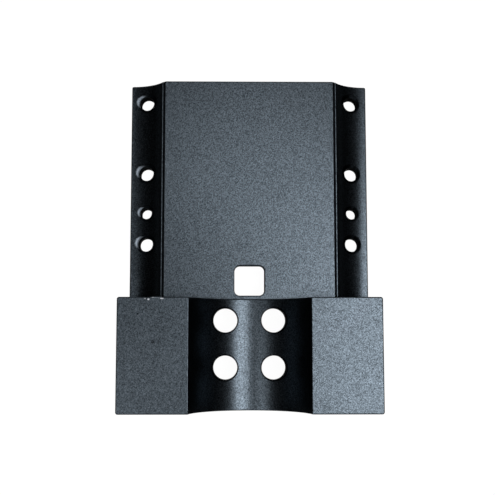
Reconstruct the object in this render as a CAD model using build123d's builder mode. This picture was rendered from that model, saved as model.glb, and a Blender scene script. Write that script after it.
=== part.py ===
from build123d import *
import os

os.makedirs("parts", exist_ok=True)

# ---------------------------------------------------------------------------
# Motor mounting bracket, milled from one aluminium billet.  Millimetres.
# X runs across the bracket, Y along it with the cradle block at the -Y end,
# Z out of the front; the back of the wings lies on Z = 0.
# ---------------------------------------------------------------------------

# Overall envelope
overall_width = 94.0
overall_length = 124.5
overall_height = 33.0

# Cradle block
block_length = 41.0
block_corner_radius = 0.8
cradle_radius = 22.0
cradle_depth = 18.0
cradle_lip_radius = 0.4

# Raised centre plate: a bevel along each long edge, down to a narrow land
plate_width = 64.0
plate_step = 1.0
plate_bevel = 1.0
plate_land = 0.25

# Coved wings either side of the plate
wing_width = 91.5
wing_edge_thickness = 6.0
wing_corner_radius = 0.6

# Relief channel milled along the whole back
channel_width = 44.0
channel_depth = 9.5
channel_corner_radius = 2.0

# Four clearance holes through the floor of the cradle
cradle_hole_diameter = 9.0
cradle_hole_spacing_x = 18.0
cradle_hole_spacing_y = 17.5
cradle_hole_end_distance = 15.6

# Wing holes in mirrored pairs, midway between the plate and the wing's outer side,
# each row measured from the +Y end
large_hole_diameter = 5.3
large_hole_chamfer = 1.0
large_row_distances = (7.0, 34.75, 62.25)
small_hole_diameter = 4.2
small_hole_chamfer = 0.8
small_row_distance = 50.25

# Square window through the plate, just clear of the block
window_size = 11.2
window_corner_radius = 2.0
window_gap = 1.35

# Rounding of every outside edge, as blasting leaves it
edge_radius = 0.45

# Everything below follows from the sizes above
wing_half = wing_width / 2
plate_half = plate_width / 2
near_end = -overall_length / 2
far_end = overall_length / 2
block_face = near_end + block_length
cradle_floor = overall_height - cradle_depth
plate_height = cradle_floor - plate_step
land_edge = plate_half + plate_bevel + plate_land
land_height = plate_height - plate_bevel
wing_hole_spacing_x = wing_half + land_edge
cradle_holes_y = near_end + cradle_hole_end_distance + cradle_hole_spacing_y / 2
window_y = block_face + window_gap + window_size / 2
close = 0.001

# Cross-sections are drawn on the cradle end and run towards +Y
section = Plane(origin=(0, near_end, 0), x_dir=(1, 0, 0), z_dir=(0, -1, 0))


def rims(part, diameter):
    """Edges where upright holes of one diameter meet the front and the back."""
    walls = part.faces().filter_by(GeomType.CYLINDER)
    walls = walls.filter_by(lambda f: abs(f.radius - diameter / 2) < close)
    walls = walls.filter_by(lambda f: abs(f.axis_of_rotation.direction.Z) > 1 - close)
    return walls.edges().filter_by(GeomType.LINE, reverse=True)


def is_cradle_rim(edge):
    """Whether an arc is the rim of the cradle."""
    return abs(edge.radius - cradle_radius) < close and edge.center().Y > near_end + close


def is_wing_side(face):
    """Whether an upright face is the outer side of a wing."""
    return face.center().Y > block_face and abs(face.center().X) > plate_half


with BuildPart() as bracket:
    # Centre plate and coved wings: one section over the full length
    with BuildSketch(section):
        with BuildLine():
            back = Line((0, 0), (wing_half, 0))
            side = Line(back @ 1, (wing_half, wing_edge_thickness))
            cove = TangentArc(side @ 1, (land_edge, land_height), tangent=(-1, 0))
            land = Line(cove @ 1, (land_edge - plate_land, land_height))
            bevel = Line(land @ 1, (plate_half, plate_height))
            Line(bevel @ 1, (0, plate_height))
            mirror(about=Plane.YZ)
        make_face()
    extrude(amount=-overall_length)
    wing_corners = bracket.edges().filter_by(Axis.Z).group_by(Axis.Y)[-1]
    fillet(wing_corners, wing_corner_radius)

    # Cradle block, as tall as the billet
    with BuildSketch(section):
        with Locations((0, overall_height / 2)):
            Rectangle(overall_width, overall_height)
    extrude(amount=-block_length)
    block_sides = bracket.faces().filter_by(Axis.X)
    left_corners = block_sides.sort_by(Axis.X)[0].edges().filter_by(Axis.Z)
    right_corners = block_sides.sort_by(Axis.X)[-1].edges().filter_by(Axis.Z)
    fillet(left_corners + right_corners, block_corner_radius)

    # Round cradle between the two pads
    with BuildSketch(section):
        with Locations((0, cradle_floor + cradle_radius)):
            Circle(cradle_radius)
    extrude(amount=-block_length, mode=Mode.SUBTRACT)

    pads = bracket.faces().group_by(Axis.Z)[-1]
    lips = pads.edges().filter_by(Axis.Y).sort_by(lambda e: abs(e.center().X))[:2]
    fillet(lips, cradle_lip_radius)

    # Relief channel in the back
    with BuildSketch(section):
        RectangleRounded(channel_width, 2 * channel_depth, channel_corner_radius)
    extrude(amount=-overall_length, mode=Mode.SUBTRACT)

    # Edge breaks: both ends, the pads, the back, the rim of the cradle where it
    # leaves the block, and the long outer edges of the wings
    ends = bracket.faces().sort_by(Axis.Y)
    levels = bracket.faces().group_by(Axis.Z)
    outline = ends[0].edges() + ends[-1].edges() + levels[-1].edges() + levels[0].edges()
    outline += bracket.edges().filter_by(GeomType.CIRCLE).filter_by(is_cradle_rim)
    wing_sides = bracket.faces().filter_by(Axis.X).filter_by(is_wing_side)
    outline += wing_sides.edges().filter_by(Axis.Y).group_by(Axis.Z)[-1]
    fillet(outline, edge_radius)

    # Square window, broken on both faces of the plate
    with BuildSketch(Plane.XY):
        with Locations((0, window_y)):
            RectangleRounded(window_size, window_size, window_corner_radius)
    extrude(amount=overall_height, mode=Mode.SUBTRACT)
    pierced = bracket.faces().filter_by(Axis.Z).filter_by(lambda f: len(f.inner_wires()) == 1)
    for face in pierced:
        fillet(face.inner_wires()[0].edges(), edge_radius)

    # Four cradle holes, two by two
    with Locations((0, cradle_holes_y, overall_height)):
        with GridLocations(cradle_hole_spacing_x, cradle_hole_spacing_y, 2, 2):
            Hole(cradle_hole_diameter / 2)
    fillet(rims(bracket, cradle_hole_diameter), edge_radius)

    # Three large pairs and one small pair of wing holes, eased front and back
    for distance in large_row_distances:
        with Locations((0, far_end - distance, overall_height)):
            with GridLocations(wing_hole_spacing_x, 0, 2, 1):
                Hole(large_hole_diameter / 2)
    chamfer(rims(bracket, large_hole_diameter), large_hole_chamfer)
    with Locations((0, far_end - small_row_distance, overall_height)):
        with GridLocations(wing_hole_spacing_x, 0, 2, 1):
            Hole(small_hole_diameter / 2)
    chamfer(rims(bracket, small_hole_diameter), small_hole_chamfer)

bracket.part.label = "motor_mounting_bracket"
export_step(bracket.part, "parts/motor_mounting_bracket.step")
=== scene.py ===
"""Motor mounting bracket: looks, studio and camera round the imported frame.

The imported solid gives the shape.  This script makes a smooth-shaded skin of
it, chips the skin where the real bracket is chipped, dresses it as
bead-blasted black anodised aluminium and lights it on a pale floor.  All
lengths are in metres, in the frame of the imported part: X across the bracket,
Y along it with the cradle block at -Y, Z out of the front.
"""

import logging
import math
from dataclasses import dataclass, field
from enum import Enum
from typing import Any, Optional, Union

import bpy
from mathutils import Matrix, Vector


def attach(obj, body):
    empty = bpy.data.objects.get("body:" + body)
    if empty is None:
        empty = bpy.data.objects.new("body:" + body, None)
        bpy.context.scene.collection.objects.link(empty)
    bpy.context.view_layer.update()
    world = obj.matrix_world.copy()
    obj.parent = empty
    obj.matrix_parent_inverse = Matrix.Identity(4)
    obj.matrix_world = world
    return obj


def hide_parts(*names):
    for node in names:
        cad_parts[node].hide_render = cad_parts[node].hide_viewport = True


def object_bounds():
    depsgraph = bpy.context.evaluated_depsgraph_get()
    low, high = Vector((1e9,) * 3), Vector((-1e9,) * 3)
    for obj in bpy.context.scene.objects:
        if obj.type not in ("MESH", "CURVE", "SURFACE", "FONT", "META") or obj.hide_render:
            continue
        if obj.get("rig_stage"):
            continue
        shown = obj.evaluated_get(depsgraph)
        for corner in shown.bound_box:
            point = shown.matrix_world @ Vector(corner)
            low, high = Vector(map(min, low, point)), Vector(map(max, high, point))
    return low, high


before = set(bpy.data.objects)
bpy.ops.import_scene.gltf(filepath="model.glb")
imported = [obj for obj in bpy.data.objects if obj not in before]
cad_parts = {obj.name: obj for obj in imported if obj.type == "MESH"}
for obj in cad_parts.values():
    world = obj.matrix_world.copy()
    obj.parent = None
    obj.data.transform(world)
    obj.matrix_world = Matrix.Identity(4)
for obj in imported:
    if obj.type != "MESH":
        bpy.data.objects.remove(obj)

LOG = logging.getLogger("bracket")
NODE = "motor_mounting_bracket"
MM = 0.001

# Round holes, in millimetres: the cradle's, then Y, radius and painted shade rim of each wing's
CRADLE_HOLE_X = 9.0
CRADLE_HOLE_YS = (-29.15, -46.65)
CRADLE_HOLE_RADIUS = 4.5
CRADLE_SHADE_RIM = 5.0
WING_HOLE_X = 39.5
WING_HOLES = ((55.25, 2.65, 3.8), (27.5, 2.65, 3.8), (0.0, 2.65, 3.8), (12.0, 2.1, 3.05))

# Outline of a painted highlight crescent: noise, then the fades at the hole and at its own disc
CRESCENT_RAGGED = 0.13
CRESCENT_START = (0.9, 1.25)
CRESCENT_END = (1.12, 0.55)

# How near a point lies to a face that it is on, in metres
FLAT_REACH = 2e-6
ROUND_REACH = 3e-6

# Cosines: a facet is part of a face, and a corner's directions belong together
SAME_FACE = 0.95
SAME_SIDE = 0.8

Colour = tuple[float, float, float]
Point = tuple[float, float, float]
Number = Union[float, "Wire"]


class Wire:
    """A shader socket that takes part in arithmetic, each step one Math node."""

    def __init__(self, graph: "Graph", socket: bpy.types.NodeSocket) -> None:
        """Holds a socket of a graph.

        Args:
            graph: The graph that the socket is in.
            socket: The output socket.
        """
        self.graph = graph
        self.socket = socket

    def _math(self, operation: str, first: Number, second: Number) -> "Wire":
        """Adds one Math node.

        Args:
            operation: Name of the operation.
            first: First operand.
            second: Second operand.

        Returns:
            The node's value.
        """
        return self.graph.add("ShaderNodeMath", {"operation": operation}, {0: first, 1: second})

    def __add__(self, other: Number) -> "Wire":
        """Sum."""
        return self._math("ADD", self, other)

    def __radd__(self, other: Number) -> "Wire":
        """Sum with a number on the left."""
        return self._math("ADD", other, self)

    def __sub__(self, other: Number) -> "Wire":
        """Difference."""
        return self._math("SUBTRACT", self, other)

    def __mul__(self, other: Number) -> "Wire":
        """Product."""
        return self._math("MULTIPLY", self, other)

    def __truediv__(self, other: Number) -> "Wire":
        """Quotient."""
        return self._math("DIVIDE", self, other)

    def __gt__(self, other: Number) -> "Wire":
        """1 where the value is above the other."""
        return self._math("GREATER_THAN", self, other)

    def greater(self, other: Number) -> "Wire":
        """Larger of two values."""
        return self._math("MAXIMUM", self, other)

    def fade(self, start: float, end: float) -> "Wire":
        """Smooth step from 0 at start to 1 at end, or down again if end is below start.

        Args:
            start: Value at which the result is 0.
            end: Value at which the result is 1.

        Returns:
            The step.
        """
        low, high, first, last = (start, end, 0.0, 1.0) if start < end else (end, start, 1.0, 0.0)
        settings = {"interpolation_type": "SMOOTHSTEP"}
        inputs = {"Value": self, "From Min": low, "From Max": high, "To Min": first, "To Max": last}
        return self.graph.add("ShaderNodeMapRange", settings, inputs)


class Graph:
    """The node tree of one material or world."""

    def __init__(self, owner: Union[bpy.types.Material, bpy.types.World]) -> None:
        """Starts an empty tree.

        Args:
            owner: The material or world.
        """
        owner.use_nodes = True
        self.tree = owner.node_tree
        self.tree.nodes.clear()

    def node(self, kind: str, settings: dict[str, Any], inputs: dict[Any, Any]) -> bpy.types.Node:
        """Adds a node, with its settings set before its sockets.

        Args:
            kind: Blender's name of the node type.
            settings: Attributes of the node.
            inputs: Values or links of its sockets, by name or by number.

        Returns:
            The node.
        """
        made = self.tree.nodes.new(kind)
        for name, value in settings.items():
            setattr(made, name, value)
        for name, value in inputs.items():
            socket = made.inputs[name]
            if isinstance(value, Wire):
                self.tree.links.new(value.socket, socket)
            else:
                socket.default_value = value
        return made

    def add(
        self, kind: str, settings: dict[str, Any], inputs: dict[Any, Any], output: Any = 0
    ) -> Wire:
        """Adds a node and returns one of its outputs.

        Args:
            kind: Blender's name of the node type.
            settings: Attributes of the node.
            inputs: Values or links of its sockets.
            output: Name or number of the output.

        Returns:
            The output.
        """
        return Wire(self, self.node(kind, settings, inputs).outputs[output])

    def mix_colour(self, factor: Number, first: Any, second: Any) -> Wire:
        """Mixes two colours.

        Args:
            factor: Share of the second colour.
            first: First colour.
            second: Second colour.

        Returns:
            The mixed colour.
        """
        settings = {"data_type": "RGBA", "blend_type": "MIX", "clamp_factor": True}
        made = self.node("ShaderNodeMix", settings, {0: factor})
        for socket, value in ((made.inputs[6], first), (made.inputs[7], second)):
            if isinstance(value, Wire):
                self.tree.links.new(value.socket, socket)
            else:
                socket.default_value = (*value, 1.0)
        return Wire(self, made.outputs[2])

    def place(self) -> Wire:
        """Object coordinates."""
        return self.add("ShaderNodeTexCoord", {}, {}, "Object")

    def grain(self, size: float, detail: float) -> Wire:
        """Noise of one grain size.

        Args:
            size: Rough size of a grain, in metres.
            detail: Octaves of finer noise.

        Returns:
            Noise round 0.5.
        """
        inputs = {
            "Vector": self.place(),
            "Scale": 1.0 / size,
            "Detail": detail,
            "Roughness": 0.5,
        }
        return self.add("ShaderNodeTexNoise", {"noise_dimensions": "3D"}, inputs, "Fac")

    def surface(self, shader: Wire) -> None:
        """Connects a shader to the material output."""
        self.node("ShaderNodeOutputMaterial", {}, {"Surface": shader})


class Mark(Enum):
    """Ways in which the black skin's colour is changed: real knocks and wear, painted highlight and
    painted shade.
    """

    BARE = "knocked through to bare metal"
    # Real rubbed wear on the pad's edge, and the painted highlight crescents beside the -X wing
    # holes
    WORN = "lighter, as if rubbed thin"
    # Painted shade in the pits and round the holes
    DARK = "darker, in a pit or round a hole"


@dataclass(frozen=True)
class Chip:
    """One mark in the black skin's colour, an oval seen from the front; some are real knocks and
    rubs, some are painted shade in a pit and round a hole.

    Attributes:
        kind: Way in which the skin is marked.
        x: Middle of the mark across the bracket, in millimetres.
        y: Middle of the mark along the bracket, in millimetres.
        half_x: Half its size across, in millimetres.
        half_y: Half its size along, in millimetres.
        share: How much of the change shows in its middle.
        soft: Width of its soft edge, as a part of its size.
        level: Height above which it shows, in millimetres.
        depth: Depth of the hollow knocked into the pad, in millimetres.
    """

    kind: Mark
    x: float
    y: float
    half_x: float
    half_y: float
    share: float = 1.0
    soft: float = 0.45
    level: float = 32.4
    depth: float = 0.0

    def mask(self, across: Wire, along: Wire, up: Wire, ragged: Wire) -> Wire:
        """Builds the mark's mask.

        Args:
            across: X in millimetres.
            along: Y in millimetres.
            up: Z in millimetres.
            ragged: Noise that breaks the outline.

        Returns:
            Up to the share inside the mark, 0 outside.
        """
        reach_x = (across - self.x) / self.half_x
        reach_y = (along - self.y) / self.half_y
        reach = reach_x * reach_x + reach_y * reach_y + ragged * self.soft
        return reach.fade(1.0 + self.soft, 1.0 - self.soft) * (up > self.level) * self.share


@dataclass(frozen=True)
class HighlightCrescent:
    """Painted highlight crescent beside a hole, a disc less a disc.

    Attributes:
        x: Middle of the hole across the bracket, in millimetres.
        y: Middle of the hole along the bracket, in millimetres.
        inner: Radius at which the crescent starts, in millimetres.
        outer: Radius of the crescent's own disc, in millimetres.
        shift_x: Step from the hole's middle to the disc's, in millimetres.
        shift_y: The same along the bracket, in millimetres.
        share: How much of the change shows.
        level: Height above which it shows, in millimetres.
    """

    x: float
    y: float
    inner: float
    outer: float
    shift_x: float
    shift_y: float
    share: float = 1.0
    level: float = 2.0

    def mask(self, across: Wire, along: Wire, up: Wire, ragged: Wire) -> Wire:
        """Builds the crescent's mask.

        Args:
            across: X in millimetres.
            along: Y in millimetres.
            up: Z in millimetres.
            ragged: Noise that breaks the outline.

        Returns:
            Up to the share inside the crescent, 0 outside.
        """
        hole_x, hole_y = across - self.x, along - self.y
        disc_x, disc_y = hole_x - self.shift_x, hole_y - self.shift_y
        hole = (hole_x * hole_x + hole_y * hole_y) / self.inner**2
        disc = (disc_x * disc_x + disc_y * disc_y) / self.outer**2 + ragged * CRESCENT_RAGGED
        shape = hole.fade(*CRESCENT_START) * disc.fade(*CRESCENT_END)
        return shape * (up > self.level) * self.share


@dataclass(frozen=True)
class AnodisedFinish:
    """Bead-blasted aluminium, anodised black.

    Attributes:
        colour: Dye colour at even light.
        roughness: Roughness of the blasted skin.
        grain: Size of the blasting dimples.
        fine_grain: Size of the noise between them, as a part of theirs.
        speckle: Depth of the light and dark speckle.
        relief: Height of the dimples.
        edge_tint: Tint of reflections at a low angle.
        worn_and_highlight: Colour of the lighter marks: real rubbed wear on the pad's edge, and the
            painted highlight crescents beside the -X wing holes.
        bare: Colour of bare metal.
        painted_shade: Colour of the painted shade in the pits and round the holes.
        bright_roughness: Roughness that the lighter marks and bare metal add.
        cloud: Size of the slow unevenness.
        cloud_tone: Its strength in the colour.
        cloud_roughness: Its strength in the roughness.
        darkest: Least swing of the speckle, before it is squared.
        ragged_size: Size of the notches in the marks' outlines.
        ragged_depth: Depth of those notches.
        chips: Knocks and pits of the -X pad, with painted shade in the pits, and painted shade rims
            round the holes.
        crescents: Painted highlight crescents beside the -X wing holes.
    """

    colour: Colour = (0.0285, 0.035, 0.0414)
    roughness: float = 0.30
    grain: float = 0.3 * MM
    fine_grain: float = 1.3
    speckle: float = 1.5
    relief: float = 0.003 * MM
    edge_tint: Colour = (0.5, 0.5, 0.5)
    worn_and_highlight: Colour = (0.26, 0.3, 0.345)
    bare: Colour = (0.27, 0.28, 0.3)
    painted_shade: Colour = (0.004, 0.005, 0.006)
    bright_roughness: float = 0.25
    cloud: float = 28 * MM
    cloud_tone: float = 0.12
    cloud_roughness: float = 0.06
    darkest: float = 0.2
    ragged_size: float = 0.35 * MM
    ragged_depth: float = 3.5
    chips: tuple[Chip, ...] = (
        Chip(Mark.BARE, -35.8, -22.15, 0.38, 0.34, depth=0.08),
        Chip(Mark.BARE, -37.0, -21.9, 0.28, 0.22, 0.45, depth=0.08),
        Chip(Mark.BARE, -34.3, -21.5, 0.3, 0.2, 0.7, depth=0.12),
        Chip(Mark.BARE, -31.1, -21.8, 0.6, 0.24, depth=0.08),
        # Real rubbed wear along the knocked edge of the pad
        Chip(Mark.WORN, -33.2, -21.4, 1.9, 0.16, 0.8),
        # Painted shade in the two pits knocked into the -X pad
        Chip(Mark.DARK, -34.2, -36.9, 0.65, 0.6, 0.6, depth=0.2),
        Chip(Mark.DARK, -39.6, -27.2, 0.42, 0.34, 0.9, depth=0.15),
        # Painted shade rims round the cradle holes and the wing holes
        *(
            Chip(Mark.DARK, x, y, CRADLE_SHADE_RIM, CRADLE_SHADE_RIM, 0.85, 0.05, 11.0)
            for x in (-CRADLE_HOLE_X, CRADLE_HOLE_X)
            for y in CRADLE_HOLE_YS
        ),
        *(
            Chip(Mark.DARK, x, y, rim, rim, 0.8, 0.08, 2.0)
            for x in (-WING_HOLE_X, WING_HOLE_X)
            for y, _, rim in WING_HOLES
        ),
    )
    # Painted highlight: lighter crescents on the side of the -X wing holes where the light falls
    crescents: tuple[HighlightCrescent, ...] = (
        *(HighlightCrescent(-WING_HOLE_X, y, 3.05, 2.6, -1.9, 0.7) for y in (55.25, 27.5, 0.0)),
        HighlightCrescent(-WING_HOLE_X, 12.0, 2.45, 2.1, -1.6, 0.5),
    )

    def _marks(self, graph: Graph) -> dict[Mark, Wire]:
        """Adds up the masks of each kind of mark on the front.

        Args:
            graph: The graph of the material.

        Returns:
            One mask for each kind.
        """
        place = {0: graph.place()}
        across, along, up = (
            graph.add("ShaderNodeSeparateXYZ", {}, place, axis) / MM for axis in range(3)
        )
        ragged = (graph.grain(self.ragged_size, 1.0) - 0.5) * self.ragged_depth
        masks: dict[Mark, Wire] = {}
        for chip in self.chips:
            mask = chip.mask(across, along, up, ragged)
            masks[chip.kind] = masks[chip.kind].greater(mask) if chip.kind in masks else mask
        # The painted highlight crescents share the mask of the lighter marks
        for crescent in self.crescents:
            mask = crescent.mask(across, along, up, ragged)
            masks[Mark.WORN] = masks[Mark.WORN].greater(mask)
        return masks

    def build(self) -> bpy.types.Material:
        """Makes the material.

        Returns:
            The material.
        """
        material = bpy.data.materials.new("black_anodised")
        graph = Graph(material)
        cells = {"Vector": graph.place(), "Scale": 1.0 / self.grain}
        dimples = graph.add("ShaderNodeTexVoronoi", {"feature": "F1"}, cells, "Color")
        fine = graph.grain(self.grain * self.fine_grain, 2.0)
        cloud = graph.grain(self.cloud, 1.0)
        speckle = dimples * 0.5 + fine * 0.5
        swing = (1.0 + (speckle - 0.5) * self.speckle).greater(self.darkest)
        tone = swing * swing * (1.0 + (cloud - 0.5) * self.cloud_tone)
        dyed = {0: self.colour, "Scale": tone}
        colour = graph.add("ShaderNodeVectorMath", {"operation": "SCALE"}, dyed)
        marks = self._marks(graph)
        # Painted shade in the pits and round the holes
        colour = graph.mix_colour(marks[Mark.DARK], colour, self.painted_shade)
        # Lighter colour of the real wear and of the painted highlight crescents
        colour = graph.mix_colour(marks[Mark.WORN], colour, self.worn_and_highlight)
        colour = graph.mix_colour(marks[Mark.BARE], colour, self.bare)
        bright = marks[Mark.BARE].greater(marks[Mark.WORN])
        uneven = (cloud - 0.5) * self.cloud_roughness
        rough = self.roughness + uneven + bright * self.bright_roughness
        dents = {"Height": speckle, "Distance": self.relief, "Strength": 1.0}
        bump = graph.add("ShaderNodeBump", {}, dents)
        inputs = {
            "Base Color": colour,
            "Metallic": 1.0,
            "Roughness": rough,
            "Specular Tint": (*self.edge_tint, 1.0),
            "Normal": bump,
        }
        shader = graph.add("ShaderNodeBsdfPrincipled", {}, inputs)
        graph.surface(shader)
        return material


@dataclass(frozen=True)
class Flat:
    """A flat face of the bracket.

    Attributes:
        normal: Its direction.
        level: Its distance from the origin along that direction.
    """

    normal: Vector
    level: float

    def facing(self, point: Vector) -> Optional[Vector]:
        """Exact direction of the face at a point, or nothing off the face."""
        return self.normal if abs(point.dot(self.normal) - self.level) < FLAT_REACH else None


@dataclass(frozen=True)
class Round:
    """A round face of the bracket, part of a cylinder.

    Attributes:
        centre: A point of its axis.
        axis: Direction of its axis.
        radius: Its radius.
        hollow: Whether it faces its axis.
    """

    centre: Vector
    axis: Vector
    radius: float
    hollow: bool = True

    def facing(self, point: Vector) -> Optional[Vector]:
        """Exact direction of the face at a point, or nothing off the face."""
        arm = point - self.centre
        arm -= self.axis * arm.dot(self.axis)
        if abs(arm.length - self.radius) > ROUND_REACH:
            return None
        return (-arm if self.hollow else arm).normalized()


@dataclass
class BracketSkin:
    """The visible skin of the one-piece bracket.

    Attributes:
        finish: Finish of the whole skin.
        half_width: Half the width of the block.
        half_length: Half the length of the bracket.
        height: Height of the block's pads.
        block_face: Y of the block's inner face.
        cradle_radius: Radius of the cradle.
        cradle_axis: Height of the cradle's axis.
        plate_half: Half the width of the plate's flat top.
        plate_height: Height of the plate.
        bevel: Bevel along the plate.
        land: Narrow flat beside the bevel.
        wing_half: Half the width across the wings.
        wing_edge: Thickness of the wings' outer edges.
        channel_half: Half the width of the channel in the back.
        channel_depth: Depth of that channel.
        cradle_holes: X, Y and radius of the holes in the cradle.
        wing_holes: X, Y and radius of the holes in the +X wing.
        seam: Distance under which corners of neighbouring facets are one.
        countersink: Reach of the wing holes' rims beyond their bores.
        back_rim: Height under which a rim is one of the back's.
    """

    finish: AnodisedFinish = field(default_factory=AnodisedFinish)
    half_width: float = 47.0 * MM
    half_length: float = 62.25 * MM
    height: float = 33.0 * MM
    block_face: float = -21.25 * MM
    cradle_radius: float = 22.0 * MM
    cradle_axis: float = 37.0 * MM
    plate_half: float = 32.0 * MM
    plate_height: float = 14.0 * MM
    bevel: float = 1.0 * MM
    land: float = 0.25 * MM
    wing_half: float = 45.75 * MM
    wing_edge: float = 6.0 * MM
    channel_half: float = 22.0 * MM
    channel_depth: float = 9.5 * MM
    cradle_holes: tuple[Point, ...] = tuple(
        (x * MM, y * MM, CRADLE_HOLE_RADIUS * MM)
        for y in CRADLE_HOLE_YS
        for x in (-CRADLE_HOLE_X, CRADLE_HOLE_X)
    )
    wing_holes: tuple[Point, ...] = tuple(
        (WING_HOLE_X * MM, y * MM, radius * MM) for y, radius, _ in WING_HOLES
    )
    seam: float = 0.0005 * MM
    countersink: float = 1.6 * MM
    back_rim: float = 1.0 * MM

    def build(self) -> bpy.types.Object:
        """Copies the solid, joins its facets and shades it smooth.

        Returns:
            The skin, riding on the bracket's body.
        """
        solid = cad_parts[NODE]
        bpy.ops.object.select_all(action="DESELECT")
        solid.select_set(True)
        bpy.context.view_layer.objects.active = solid
        bpy.ops.object.duplicate()
        skin = bpy.context.active_object
        skin.name = "bracket_skin"
        for mark in [key for key in skin.keys() if key.startswith("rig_")]:
            del skin[mark]
        bpy.ops.object.mode_set(mode="EDIT")
        bpy.ops.mesh.select_all(action="SELECT")
        bpy.ops.mesh.customdata_custom_splitnormals_clear()
        bpy.ops.mesh.remove_doubles(threshold=self.seam)
        bpy.ops.mesh.select_all(action="DESELECT")
        bpy.ops.object.mode_set(mode="OBJECT")
        self._knock(skin)
        skin.data.materials.clear()
        skin.data.materials.append(self.finish.build())
        self._shade(skin)
        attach(skin, "root")
        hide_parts(NODE)
        return skin

    def _knock(self, skin: bpy.types.Object) -> None:
        """Cuts the hollows of the chips and pits out of the pad.

        Args:
            skin: The skin.
        """
        bpy.ops.object.select_all(action="DESELECT")
        hollows = []
        for chip in self.finish.chips:
            if chip.depth > 0.0:
                place = (chip.x * MM, chip.y * MM, self.height)
                bpy.ops.mesh.primitive_ico_sphere_add(subdivisions=3, radius=MM, location=place)
                hollow = bpy.context.active_object
                hollow.scale = (chip.half_x, chip.half_y, chip.depth)
                hollows.append(hollow)
        for hollow in hollows:
            hollow.select_set(True)
        bpy.ops.object.join()
        cutter = bpy.context.active_object
        bpy.ops.object.transform_apply(location=True, rotation=True, scale=True)
        bpy.ops.object.select_all(action="DESELECT")
        skin.select_set(True)
        bpy.context.view_layer.objects.active = skin
        cut = skin.modifiers.new("knock", "BOOLEAN")
        cut.object, cut.operation, cut.solver = cutter, "DIFFERENCE", "EXACT"
        bpy.ops.object.modifier_apply(modifier=cut.name)
        bpy.data.objects.remove(cutter)
        LOG.info("%d chips and pits", len(hollows))

    def _faces(self) -> list[Union[Flat, Round]]:
        """Lists the flat and round faces of the bracket, whose directions are known exactly.

        Returns:
            The faces.
        """
        up, across, along = Vector((0, 0, 1)), Vector((1, 0, 0)), Vector((0, 1, 0))
        land_edge = self.plate_half + self.bevel + self.land
        land_height = self.plate_height - self.bevel
        run, rise = self.wing_half - land_edge, land_height - self.wing_edge
        cove = (run * run + rise * rise) / (2 * rise)
        faces: list[Union[Flat, Round]] = [
            Flat(up, self.height),
            Flat(up, self.plate_height),
            Flat(up, land_height),
            Flat(-up, 0.0),
            Flat(-up, -self.channel_depth),
            Flat(along, self.half_length),
            Flat(along, self.block_face),
            Flat(-along, self.half_length),
            Round(Vector((0, 0, self.cradle_axis)), along, self.cradle_radius),
        ]
        for side in (-1.0, 1.0):
            outward = across * side
            slope = (outward + up).normalized()
            corner = Vector((side * self.plate_half, 0, self.plate_height))
            faces += [
                Flat(outward, self.half_width),
                Flat(outward, self.wing_half),
                Flat(-outward, -self.channel_half),
                Flat(slope, corner.dot(slope)),
                Round(Vector((side * self.wing_half, 0, self.wing_edge + cove)), along, cove),
            ]
            faces += [Round(Vector((side * x, y, 0)), up, size) for x, y, size in self.wing_holes]
        faces += [Round(Vector((x, y, 0)), up, size) for x, y, size in self.cradle_holes]
        return faces

    def _shade(self, skin: bpy.types.Object) -> None:
        """Gives every facet's corners the directions of the real faces.

        Args:
            skin: The skin.
        """
        mesh = skin.data
        mesh.polygons.foreach_set("use_smooth", [True] * len(mesh.polygons))
        faces = self._faces()
        points = [vertex.co.copy() for vertex in mesh.vertices]
        near: list[list[Vector]] = [[] for _ in points]
        rest: list[list[tuple[Vector, float]]] = [[] for _ in points]
        exact: dict[int, list[Vector]] = {}
        for facet in mesh.polygons:
            for face in faces:
                found = [face.facing(points[index]) for index in facet.vertices]
                if None in found or min(facet.normal.dot(way) for way in found) < SAME_FACE:
                    continue
                exact[facet.index] = found
                for index, way in zip(facet.vertices, found):
                    near[index].append(way)
                break
            else:
                for index in facet.vertices:
                    rest[index].append((facet.normal.copy(), facet.area))
        normals = [Vector((0, 0, 1))] * len(mesh.loops)
        for facet in mesh.polygons:
            for slot, (loop, index) in enumerate(zip(facet.loop_indices, facet.vertices)):
                if facet.index in exact:
                    normals[loop] = exact[facet.index][slot]
                    continue
                best = max(near[index], key=facet.normal.dot, default=None)
                fits = best is not None and facet.normal.dot(best) > SAME_SIDE
                if fits and not self._in_countersink(points[index]):
                    normals[loop] = best
                    continue
                total = Vector()
                for way, area in rest[index]:
                    if way.dot(facet.normal) > SAME_SIDE:
                        total += way * area
                has_way = total.length > 0
                normals[loop] = total.normalized() if has_way else facet.normal.copy()
        mesh.normals_split_custom_set(normals)

    def _in_countersink(self, point: Vector) -> bool:
        """Tells whether a point is on the rim of a wing hole."""
        near_hole = any(
            math.hypot(abs(point.x) - x, point.y - y) < radius + self.countersink
            for x, y, radius in self.wing_holes
        )
        return near_hole and point.z > self.back_rim


@dataclass(frozen=True)
class Panel:
    """One soft light, a rectangle that faces the bracket.

    Attributes:
        name: Name of the lamp.
        across: Angle from straight up towards +X, in degrees.
        along: Angle from straight up towards +Y, in degrees.
        distance: Distance from the bracket.
        width: Width across X.
        length: Length along Y.
        radiance: Brightness of its face, where 1 is white.
    """

    name: str
    across: float
    along: float
    distance: float
    width: float
    length: float
    radiance: float

    def build(self, target: Vector) -> bpy.types.Object:
        """Hangs the lamp.

        Args:
            target: What it faces.

        Returns:
            The lamp.
        """
        leans = (math.tan(math.radians(angle)) for angle in (self.across, self.along))
        direction = Vector((*leans, 1.0))
        direction.normalize()
        bpy.ops.object.light_add(type="AREA", location=target + direction * self.distance)
        lamp = bpy.context.active_object
        lamp.name = self.name
        lamp.data.shape = "RECTANGLE"
        lamp.data.size = self.width
        lamp.data.size_y = self.length
        lamp.visible_camera = False
        lamp.data.energy = self.radiance * math.pi * self.width * self.length
        side = Vector((0.0, 1.0, 0.0)).cross(direction).normalized()
        turn = Matrix((side, direction.cross(side), direction)).transposed()
        lamp.rotation_euler = turn.to_euler()
        return lamp


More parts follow.
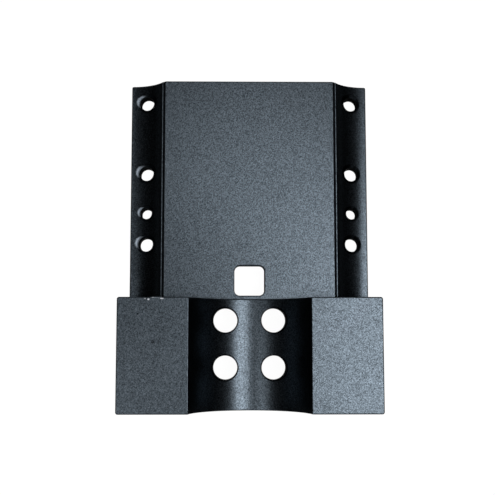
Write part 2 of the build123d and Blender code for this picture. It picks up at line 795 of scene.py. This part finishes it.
@dataclass
class Studio:
    """Floor, backdrop, lamps and camera.

    Attributes:
        panels: The soft lights.
        floor_size: Side of the floor.
        floor_drop: Gap between the floor and the bracket's back.
        floor_shade: Brightness of the floor in the lamps' light, which carries the shadow.
        floor_glow: Its own light, as the camera sees it.
        floor_mirrored: The same in reflections.
        room_light: Brightness of the room to all rays.
        room_mirrored: What reflections add to it.
        camera_place: Place of the camera.
        camera_turn: Turn of the camera, in radians.
        lens: Focal length, in millimetres.
        sensor: Width of the sensor, in millimetres.
        near_clip: Distance at which the camera starts to see.
    """

    panels: tuple[Panel, ...] = (
        Panel("key_panel", 16.0, -5.2, 1.5, 0.61, 0.72, 13.5),
        Panel("fill_panel", -21.7, -21.4, 1.5, 0.578, 0.986, 5.1),
        Panel("top_panel", 0.8, 12.3, 1.5, 0.34, 0.24, 9.2),
        Panel("far_wall_panel", 0.0, 66.0, 2.0, 5.0, 1.4, 1.0),
        Panel("near_wall_panel", 0.0, -66.0, 2.0, 5.0, 1.4, 1.0),
    )
    floor_size: float = 6.0
    floor_drop: float = 0.0001
    floor_shade: float = 0.06
    floor_glow: float = 0.965
    floor_mirrored: float = 0.01
    room_light: float = 0.006
    room_mirrored: float = 0.006
    camera_place: Point = (-0.004968, -0.035783, 0.345068)
    camera_turn: Point = (0.102201, -0.012889, -0.000238)
    lens: float = 64.35
    sensor: float = 36.0
    near_clip: float = 0.01

    def build(self, target: Vector) -> None:
        """Sets the whole studio up.

        Args:
            target: What the lamps face.
        """
        for panel in self.panels:
            panel.build(target)
            LOG.info("lamp %s", panel.name)
        self._floor()
        self._room()
        self._camera()
        bpy.context.scene.view_settings.view_transform = "Standard"

    def _seen(self, graph: Graph) -> tuple[Wire, Wire]:
        """Rays that show the background: camera and transmission rays, and glossy rays."""
        paths = graph.node("ShaderNodeLightPath", {}, {}).outputs
        camera = Wire(graph, paths["Is Camera Ray"])
        glossy = Wire(graph, paths["Is Glossy Ray"])
        through = Wire(graph, paths["Is Transmission Ray"])
        return camera + through, glossy

    def _floor(self) -> None:
        """Lays the pale floor under the bracket."""
        bpy.ops.mesh.primitive_plane_add(
            size=self.floor_size, location=(0.0, 0.0, -self.floor_drop)
        )
        floor = bpy.context.active_object
        floor.name = "floor"
        material = bpy.data.materials.new("pale_floor")
        graph = Graph(material)
        direct, mirrored = self._seen(graph)
        grey = (self.floor_shade, self.floor_shade, self.floor_shade, 1.0)
        shade = graph.add("ShaderNodeBsdfDiffuse", {}, {"Color": grey})
        strength = direct * self.floor_glow + mirrored * self.floor_mirrored
        lit = {"Color": (1.0, 1.0, 1.0, 1.0), "Strength": strength}
        glow = graph.add("ShaderNodeEmission", {}, lit)
        graph.surface(graph.add("ShaderNodeAddShader", {}, {0: shade, 1: glow}))
        floor.data.materials.append(material)
        floor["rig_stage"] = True

    def _room(self) -> None:
        """Makes the room round the floor: white to the camera, dim in reflections."""
        world = bpy.data.worlds.new("room")
        bpy.context.scene.world = world
        graph = Graph(world)
        direct, mirrored = self._seen(graph)
        dim = self.room_light + direct * (1.0 - self.room_light)
        lit = {"Color": (1.0, 1.0, 1.0, 1.0), "Strength": dim + mirrored * self.room_mirrored}
        glow = graph.add("ShaderNodeBackground", {}, lit)
        graph.node("ShaderNodeOutputWorld", {}, {"Surface": glow})

    def _camera(self) -> None:
        """Places the camera over the bracket."""
        bpy.ops.object.camera_add(location=self.camera_place, rotation=self.camera_turn)
        camera = bpy.context.active_object
        camera.name = "camera"
        camera.data.lens = self.lens
        camera.data.sensor_width = self.sensor
        camera.data.clip_start = self.near_clip
        bpy.context.scene.camera = camera


def main() -> None:
    """Builds the skin and the studio and reports each piece."""
    logging.basicConfig(level=logging.INFO, format="%(name)s: %(message)s")
    cad_box = [list(corner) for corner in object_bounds()]
    skin = BracketSkin().build()
    LOG.info("%s: %d faces", skin.name, len(skin.data.polygons))
    low, high = (Vector(corner) for corner in cad_box)
    Studio().build((low + high) / 2)


if __name__ == "__main__":
    main()
